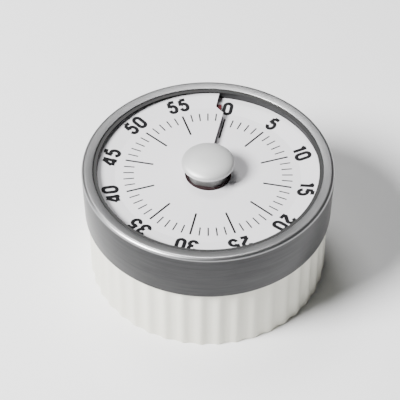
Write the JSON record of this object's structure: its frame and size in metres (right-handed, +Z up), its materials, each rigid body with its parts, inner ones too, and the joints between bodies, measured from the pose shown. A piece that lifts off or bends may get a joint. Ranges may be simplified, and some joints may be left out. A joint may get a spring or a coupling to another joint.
{
  "type": "kitchen timer",
  "caption": "Round clockwork kitchen timer with a fluted cup, a steel ring, a spiral minute dial and a red disc that climbs out of a slit as its centre knob is turned.",
  "frame": {"origin": "centre of the flat underside", "axes": "+Z up along the knob axis, zero on the dial at +Y, minutes clockwise seen from above"},
  "size_m": [0.076, 0.076, 0.0434],
  "materials": {
    "cup_plastic": "satin cream ABS",
    "cover_plastic": "satin cream ABS",
    "ring_steel": "brushed round the ring",
    "window_plastic": "clear, polished",
    "dial_white": "printed white sheet",
    "dial_black": "satin black",
    "disc_red": "dark red sheet",
    "hub_red": "moulded dark red",
    "knob_metal": "satin",
    "stem_metal": "turned",
    "shaft_steel": "ground",
    "plate_steel": "zinc plated",
    "screw_steel": "zinc plated",
    "wheel_brass": "stamped",
    "pillar_brass": "turned",
    "spring_steel": "blued",
    "gong_steel": "nickel plated",
    "magnet": "sintered ferrite"
  },
  "bodies": {
    "case": {"base_cup": "cup_plastic", "bottom_cover": "cover_plastic", "cover_screws": "screw_steel", "magnets": "magnet", "steel_ring": "ring_steel", "lens": "window_plastic", "dial": "dial_white", "dial_ring": "dial_black", "dial_carrier": "dial_black", "movement_screws": "screw_steel", "upper_plate": "plate_steel", "lower_plate": "plate_steel", "pillars": "pillar_brass", "plate_screws": "screw_steel", "mainspring": "spring_steel", "spring_post": "shaft_steel", "gong": "gong_steel", "gong_post": "pillar_brass", "gong_screw": "screw_steel", "hammer_spring": "spring_steel"},
    "knob": {"knob_cap": "knob_metal", "knob_stem": "stem_metal", "main_shaft": "shaft_steel", "trip_cam": "wheel_brass", "clutch_spring": "spring_steel", "clutch_collar": "shaft_steel"},
    "red_sector": {"red_disc": "disc_red", "red_disc_hub": "hub_red"},
    "drive": {"drive_wheel": "wheel_brass"},
    "second": {"second_arbor": "shaft_steel", "second_wheel": "wheel_brass"},
    "third": {"third_arbor": "shaft_steel", "third_wheel": "wheel_brass"},
    "escape": {"escape_arbor": "shaft_steel", "escape_wheel": "wheel_brass"},
    "pallets": {"pallet_arbor": "shaft_steel", "pallet_lever": "wheel_brass", "pallet_pins": "shaft_steel", "pallet_weights": "pillar_brass"},
    "hammer": {"hammer_arbor": "shaft_steel", "trip_lever": "plate_steel", "hammer_arm": "plate_steel", "hammer_head": "pillar_brass"}
  },
  "joints": [
    {"name": "knob_turn", "type": "hinge", "parent": "case", "child": "knob", "pos_m": [0, 0, 0.04], "axis": [0, 0, -1], "range_deg": [0, 360]},
    {"name": "red_disc_rise", "type": "slide", "parent": "knob", "child": "red_sector", "axis": [0, 0, 1], "range_m": [0, 0.0019]},
    {"name": "drive_wheel_turn", "type": "hinge", "parent": "case", "child": "drive", "pos_m": [0, 0, 0.0234], "axis": [0, 0, -1], "range_deg": [0, 360]},
    {"name": "second_wheel_turn", "type": "hinge", "parent": "case", "child": "second", "pos_m": [0.01806, 0, 0.0216], "axis": [0, 0, -1], "range_deg": [-3240, 0]},
    {"name": "third_wheel_turn", "type": "hinge", "parent": "case", "child": "third", "pos_m": [0.01459, 0.01217, 0.0252], "axis": [0, 0, -1], "range_deg": [0, 25920]},
    {"name": "escape_wheel_turn", "type": "hinge", "parent": "case", "child": "escape", "pos_m": [0.00616, 0.01903, 0.0193], "axis": [0, 0, -1], "range_deg": [-207360, 0]},
    {"name": "pallet_rock", "type": "hinge", "parent": "case", "child": "pallets", "pos_m": [-0.0004, 0.0205, 0.0205], "axis": [0, 0, -1], "range_deg": [-4, 4]},
    {"name": "hammer_swing", "type": "hinge", "parent": "case", "child": "hammer", "pos_m": [-0.01638, -0.01147, 0.0125], "axis": [0, 0, -1], "range_deg": [0, 3]}
  ],
  "couplings": [
    {"joint": "red_disc_rise", "follows": "knob_turn", "m_per_rad": 0.00030239},
    {"joint": "drive_wheel_turn", "follows": "knob_turn", "ratio": 1},
    {"joint": "second_wheel_turn", "follows": "knob_turn", "ratio": -9},
    {"joint": "third_wheel_turn", "follows": "knob_turn", "ratio": 72},
    {"joint": "escape_wheel_turn", "follows": "knob_turn", "ratio": -576}
  ]
}
